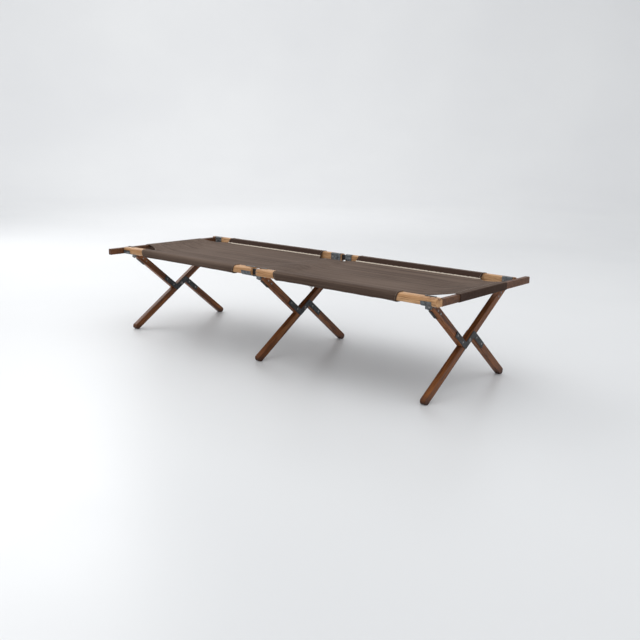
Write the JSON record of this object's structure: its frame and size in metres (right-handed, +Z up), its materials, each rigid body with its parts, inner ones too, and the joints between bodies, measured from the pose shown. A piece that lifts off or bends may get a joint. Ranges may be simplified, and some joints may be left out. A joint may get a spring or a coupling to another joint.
{
  "type": "folding cot",
  "caption": "Wooden folding cot: hinged side rails on scissor leg frames, a canvas bed sleeved on the rails, and a pull-off bar across each end.",
  "frame": {"origin": "on the floor, under the middle of the bed", "axes": "+X along the bed's length, +Y across it, +Z up"},
  "size_m": [1.9536, 0.84, 0.4423],
  "materials": {
    "rail_wood": "pale varnished hardwood, satin, worn",
    "leg_wood": "red-brown stained hardwood, satin",
    "bar_wood": "brown stained hardwood, satin",
    "canvas": "heavy cotton duck, faded grey-brown",
    "black_steel": "blackened steel, mottled",
    "zinc_steel": "dull galvanised steel"
  },
  "bodies": {
    "near_left_rail": {"near_left_rail": "rail_wood", "near_left_bracket": "zinc_steel", "near_mid_bracket": "zinc_steel", "near_left_rail_screws": "zinc_steel", "near_left_canvas_sleeve": "canvas", "left_canvas_panel": "canvas"},
    "near_rail_link": {"near_rail_link": "black_steel", "near_link_pins": "black_steel", "middle_canvas_panel": "canvas"},
    "near_right_rail": {"near_right_rail": "rail_wood", "near_right_bracket": "zinc_steel", "near_hinge_plate": "zinc_steel", "near_right_rail_screws": "zinc_steel", "near_right_canvas_sleeve": "canvas", "right_canvas_panel": "canvas"},
    "far_left_rail": {"far_left_rail": "rail_wood", "far_left_bracket": "zinc_steel", "far_mid_bracket": "zinc_steel", "far_left_rail_screws": "zinc_steel", "far_left_canvas_sleeve": "canvas"},
    "far_rail_link": {"far_rail_link": "black_steel", "far_link_pins": "black_steel"},
    "far_right_rail": {"far_right_rail": "rail_wood", "far_right_bracket": "zinc_steel", "far_hinge_plate": "zinc_steel", "far_right_rail_screws": "zinc_steel", "far_right_canvas_sleeve": "canvas"},
    "left_end_bar": {"left_end_bar": "bar_wood"},
    "right_end_bar": {"right_end_bar": "bar_wood"},
    "left_near_swivel": {"left_near_swivel": "zinc_steel"},
    "left_far_swivel": {"left_far_swivel": "zinc_steel"},
    "left_split_leg": {"left_split_leg_upper": "leg_wood", "left_split_leg_lower": "leg_wood", "left_split_leg_strap": "black_steel", "left_cross_plates": "black_steel", "left_split_leg_rivets": "zinc_steel"},
    "left_through_leg": {"left_through_leg": "leg_wood", "left_through_leg_strap": "black_steel", "left_through_leg_rivets": "zinc_steel"},
    "mid_near_swivel": {"mid_near_swivel": "zinc_steel"},
    "mid_far_swivel": {"mid_far_swivel": "zinc_steel"},
    "mid_split_leg": {"mid_split_leg_upper": "leg_wood", "mid_split_leg_lower": "leg_wood", "mid_split_leg_strap": "black_steel", "mid_cross_plates": "black_steel", "mid_split_leg_rivets": "zinc_steel"},
    "mid_through_leg": {"mid_through_leg": "leg_wood", "mid_through_leg_strap": "black_steel", "mid_through_leg_rivets": "zinc_steel"},
    "right_near_swivel": {"right_near_swivel": "zinc_steel"},
    "right_far_swivel": {"right_far_swivel": "zinc_steel"},
    "right_split_leg": {"right_split_leg_upper": "leg_wood", "right_split_leg_lower": "leg_wood", "right_split_leg_strap": "black_steel", "right_cross_plates": "black_steel", "right_split_leg_rivets": "zinc_steel"},
    "right_through_leg": {"right_through_leg": "leg_wood", "right_through_leg_strap": "black_steel", "right_through_leg_rivets": "zinc_steel"}
  },
  "joints": [
    {"name": "mid_leg_fold", "type": "hinge", "parent": "near_left_rail", "child": "mid_near_swivel", "pos_m": [0, -0.28, 0.396], "axis": [0, 1, 0], "range_deg": [0, 88]},
    {"name": "scissor_close", "type": "hinge", "parent": "mid_near_swivel", "child": "mid_split_leg", "pos_m": [0, -0.28, 0.396], "axis": [-1, 0, 0], "range_deg": [0, 52], "deforming": ["left_canvas_panel", "middle_canvas_panel", "right_canvas_panel"]},
    {"name": "mid_cross_pivot", "type": "hinge", "parent": "mid_split_leg", "child": "mid_through_leg", "pos_m": [0, 0, 0.21231], "axis": [1, 0, 0], "range_deg": [0, 104]},
    {"name": "mid_far_scissor", "type": "hinge", "parent": "mid_through_leg", "child": "mid_far_swivel", "pos_m": [0, 0.28, 0.396], "axis": [-1, 0, 0], "range_deg": [0, 52]},
    {"name": "mid_far_leg_fold", "type": "hinge", "parent": "mid_far_swivel", "child": "far_left_rail", "pos_m": [0, 0.28, 0.396], "axis": [0, -1, 0], "range_deg": [0, 88]},
    {"name": "left_leg_fold", "type": "hinge", "parent": "near_left_rail", "child": "left_near_swivel", "pos_m": [-0.915, -0.28, 0.396], "axis": [0, -1, 0], "range_deg": [0, 74]},
    {"name": "left_near_scissor", "type": "hinge", "parent": "left_near_swivel", "child": "left_split_leg", "pos_m": [-0.915, -0.28, 0.396], "axis": [-1, 0, 0], "range_deg": [0, 52]},
    {"name": "left_cross_pivot", "type": "hinge", "parent": "left_split_leg", "child": "left_through_leg", "pos_m": [-0.915, 0, 0.21231], "axis": [1, 0, 0], "range_deg": [0, 104]},
    {"name": "left_far_leg_fold", "type": "hinge", "parent": "far_left_rail", "child": "left_far_swivel", "pos_m": [-0.915, 0.28, 0.396], "axis": [0, -1, 0], "range_deg": [0, 74]},
    {"name": "right_leg_fold", "type": "hinge", "parent": "near_right_rail", "child": "right_near_swivel", "pos_m": [0.915, -0.28, 0.396], "axis": [0, 1, 0], "range_deg": [0, 88]},
    {"name": "right_near_scissor", "type": "hinge", "parent": "right_near_swivel", "child": "right_split_leg", "pos_m": [0.915, -0.28, 0.396], "axis": [-1, 0, 0], "range_deg": [0, 52]},
    {"name": "right_cross_pivot", "type": "hinge", "parent": "right_split_leg", "child": "right_through_leg", "pos_m": [0.915, 0, 0.21231], "axis": [1, 0, 0], "range_deg": [0, 104]},
    {"name": "right_far_leg_fold", "type": "hinge", "parent": "far_right_rail", "child": "right_far_swivel", "pos_m": [0.915, 0.28, 0.396], "axis": [0, 1, 0], "range_deg": [0, 88]},
    {"name": "rail_fold", "type": "hinge", "parent": "near_left_rail", "child": "near_rail_link", "pos_m": [-0.02, -0.323, 0.423], "axis": [0, -1, 0], "range_deg": [0, 90]},
    {"name": "near_rail_fold_outer", "type": "hinge", "parent": "near_rail_link", "child": "near_right_rail", "pos_m": [0.02, -0.323, 0.423], "axis": [0, -1, 0], "range_deg": [0, 90]},
    {"name": "far_rail_fold", "type": "hinge", "parent": "far_left_rail", "child": "far_rail_link", "pos_m": [-0.02, 0.323, 0.423], "axis": [0, -1, 0], "range_deg": [0, 90]},
    {"name": "far_rail_fold_outer", "type": "hinge", "parent": "far_rail_link", "child": "far_right_rail", "pos_m": [0.02, 0.323, 0.423], "axis": [0, -1, 0], "range_deg": [0, 90]},
    {"name": "right_bar_pull", "type": "slide", "parent": "near_right_rail", "child": "right_end_bar", "axis": [0, 1, 0], "range_m": [0, 0.06]},
    {"name": "left_bar_pull", "type": "slide", "parent": "far_left_rail", "child": "left_end_bar", "axis": [0, -1, 0], "range_m": [0, 0.06]}
  ],
  "couplings": [
    {"joint": "mid_cross_pivot", "follows": "scissor_close", "ratio": 2},
    {"joint": "mid_far_scissor", "follows": "scissor_close", "ratio": 1},
    {"joint": "mid_far_leg_fold", "follows": "mid_leg_fold", "ratio": 1},
    {"joint": "left_near_scissor", "follows": "scissor_close", "ratio": 1},
    {"joint": "left_cross_pivot", "follows": "scissor_close", "ratio": 2},
    {"joint": "left_far_leg_fold", "follows": "left_leg_fold", "ratio": 1},
    {"joint": "right_near_scissor", "follows": "scissor_close", "ratio": 1},
    {"joint": "right_cross_pivot", "follows": "scissor_close", "ratio": 2},
    {"joint": "right_far_leg_fold", "follows": "right_leg_fold", "ratio": 1},
    {"joint": "near_rail_fold_outer", "follows": "rail_fold", "ratio": 1},
    {"joint": "far_rail_fold", "follows": "rail_fold", "ratio": 1},
    {"joint": "far_rail_fold_outer", "follows": "rail_fold", "ratio": 1}
  ]
}
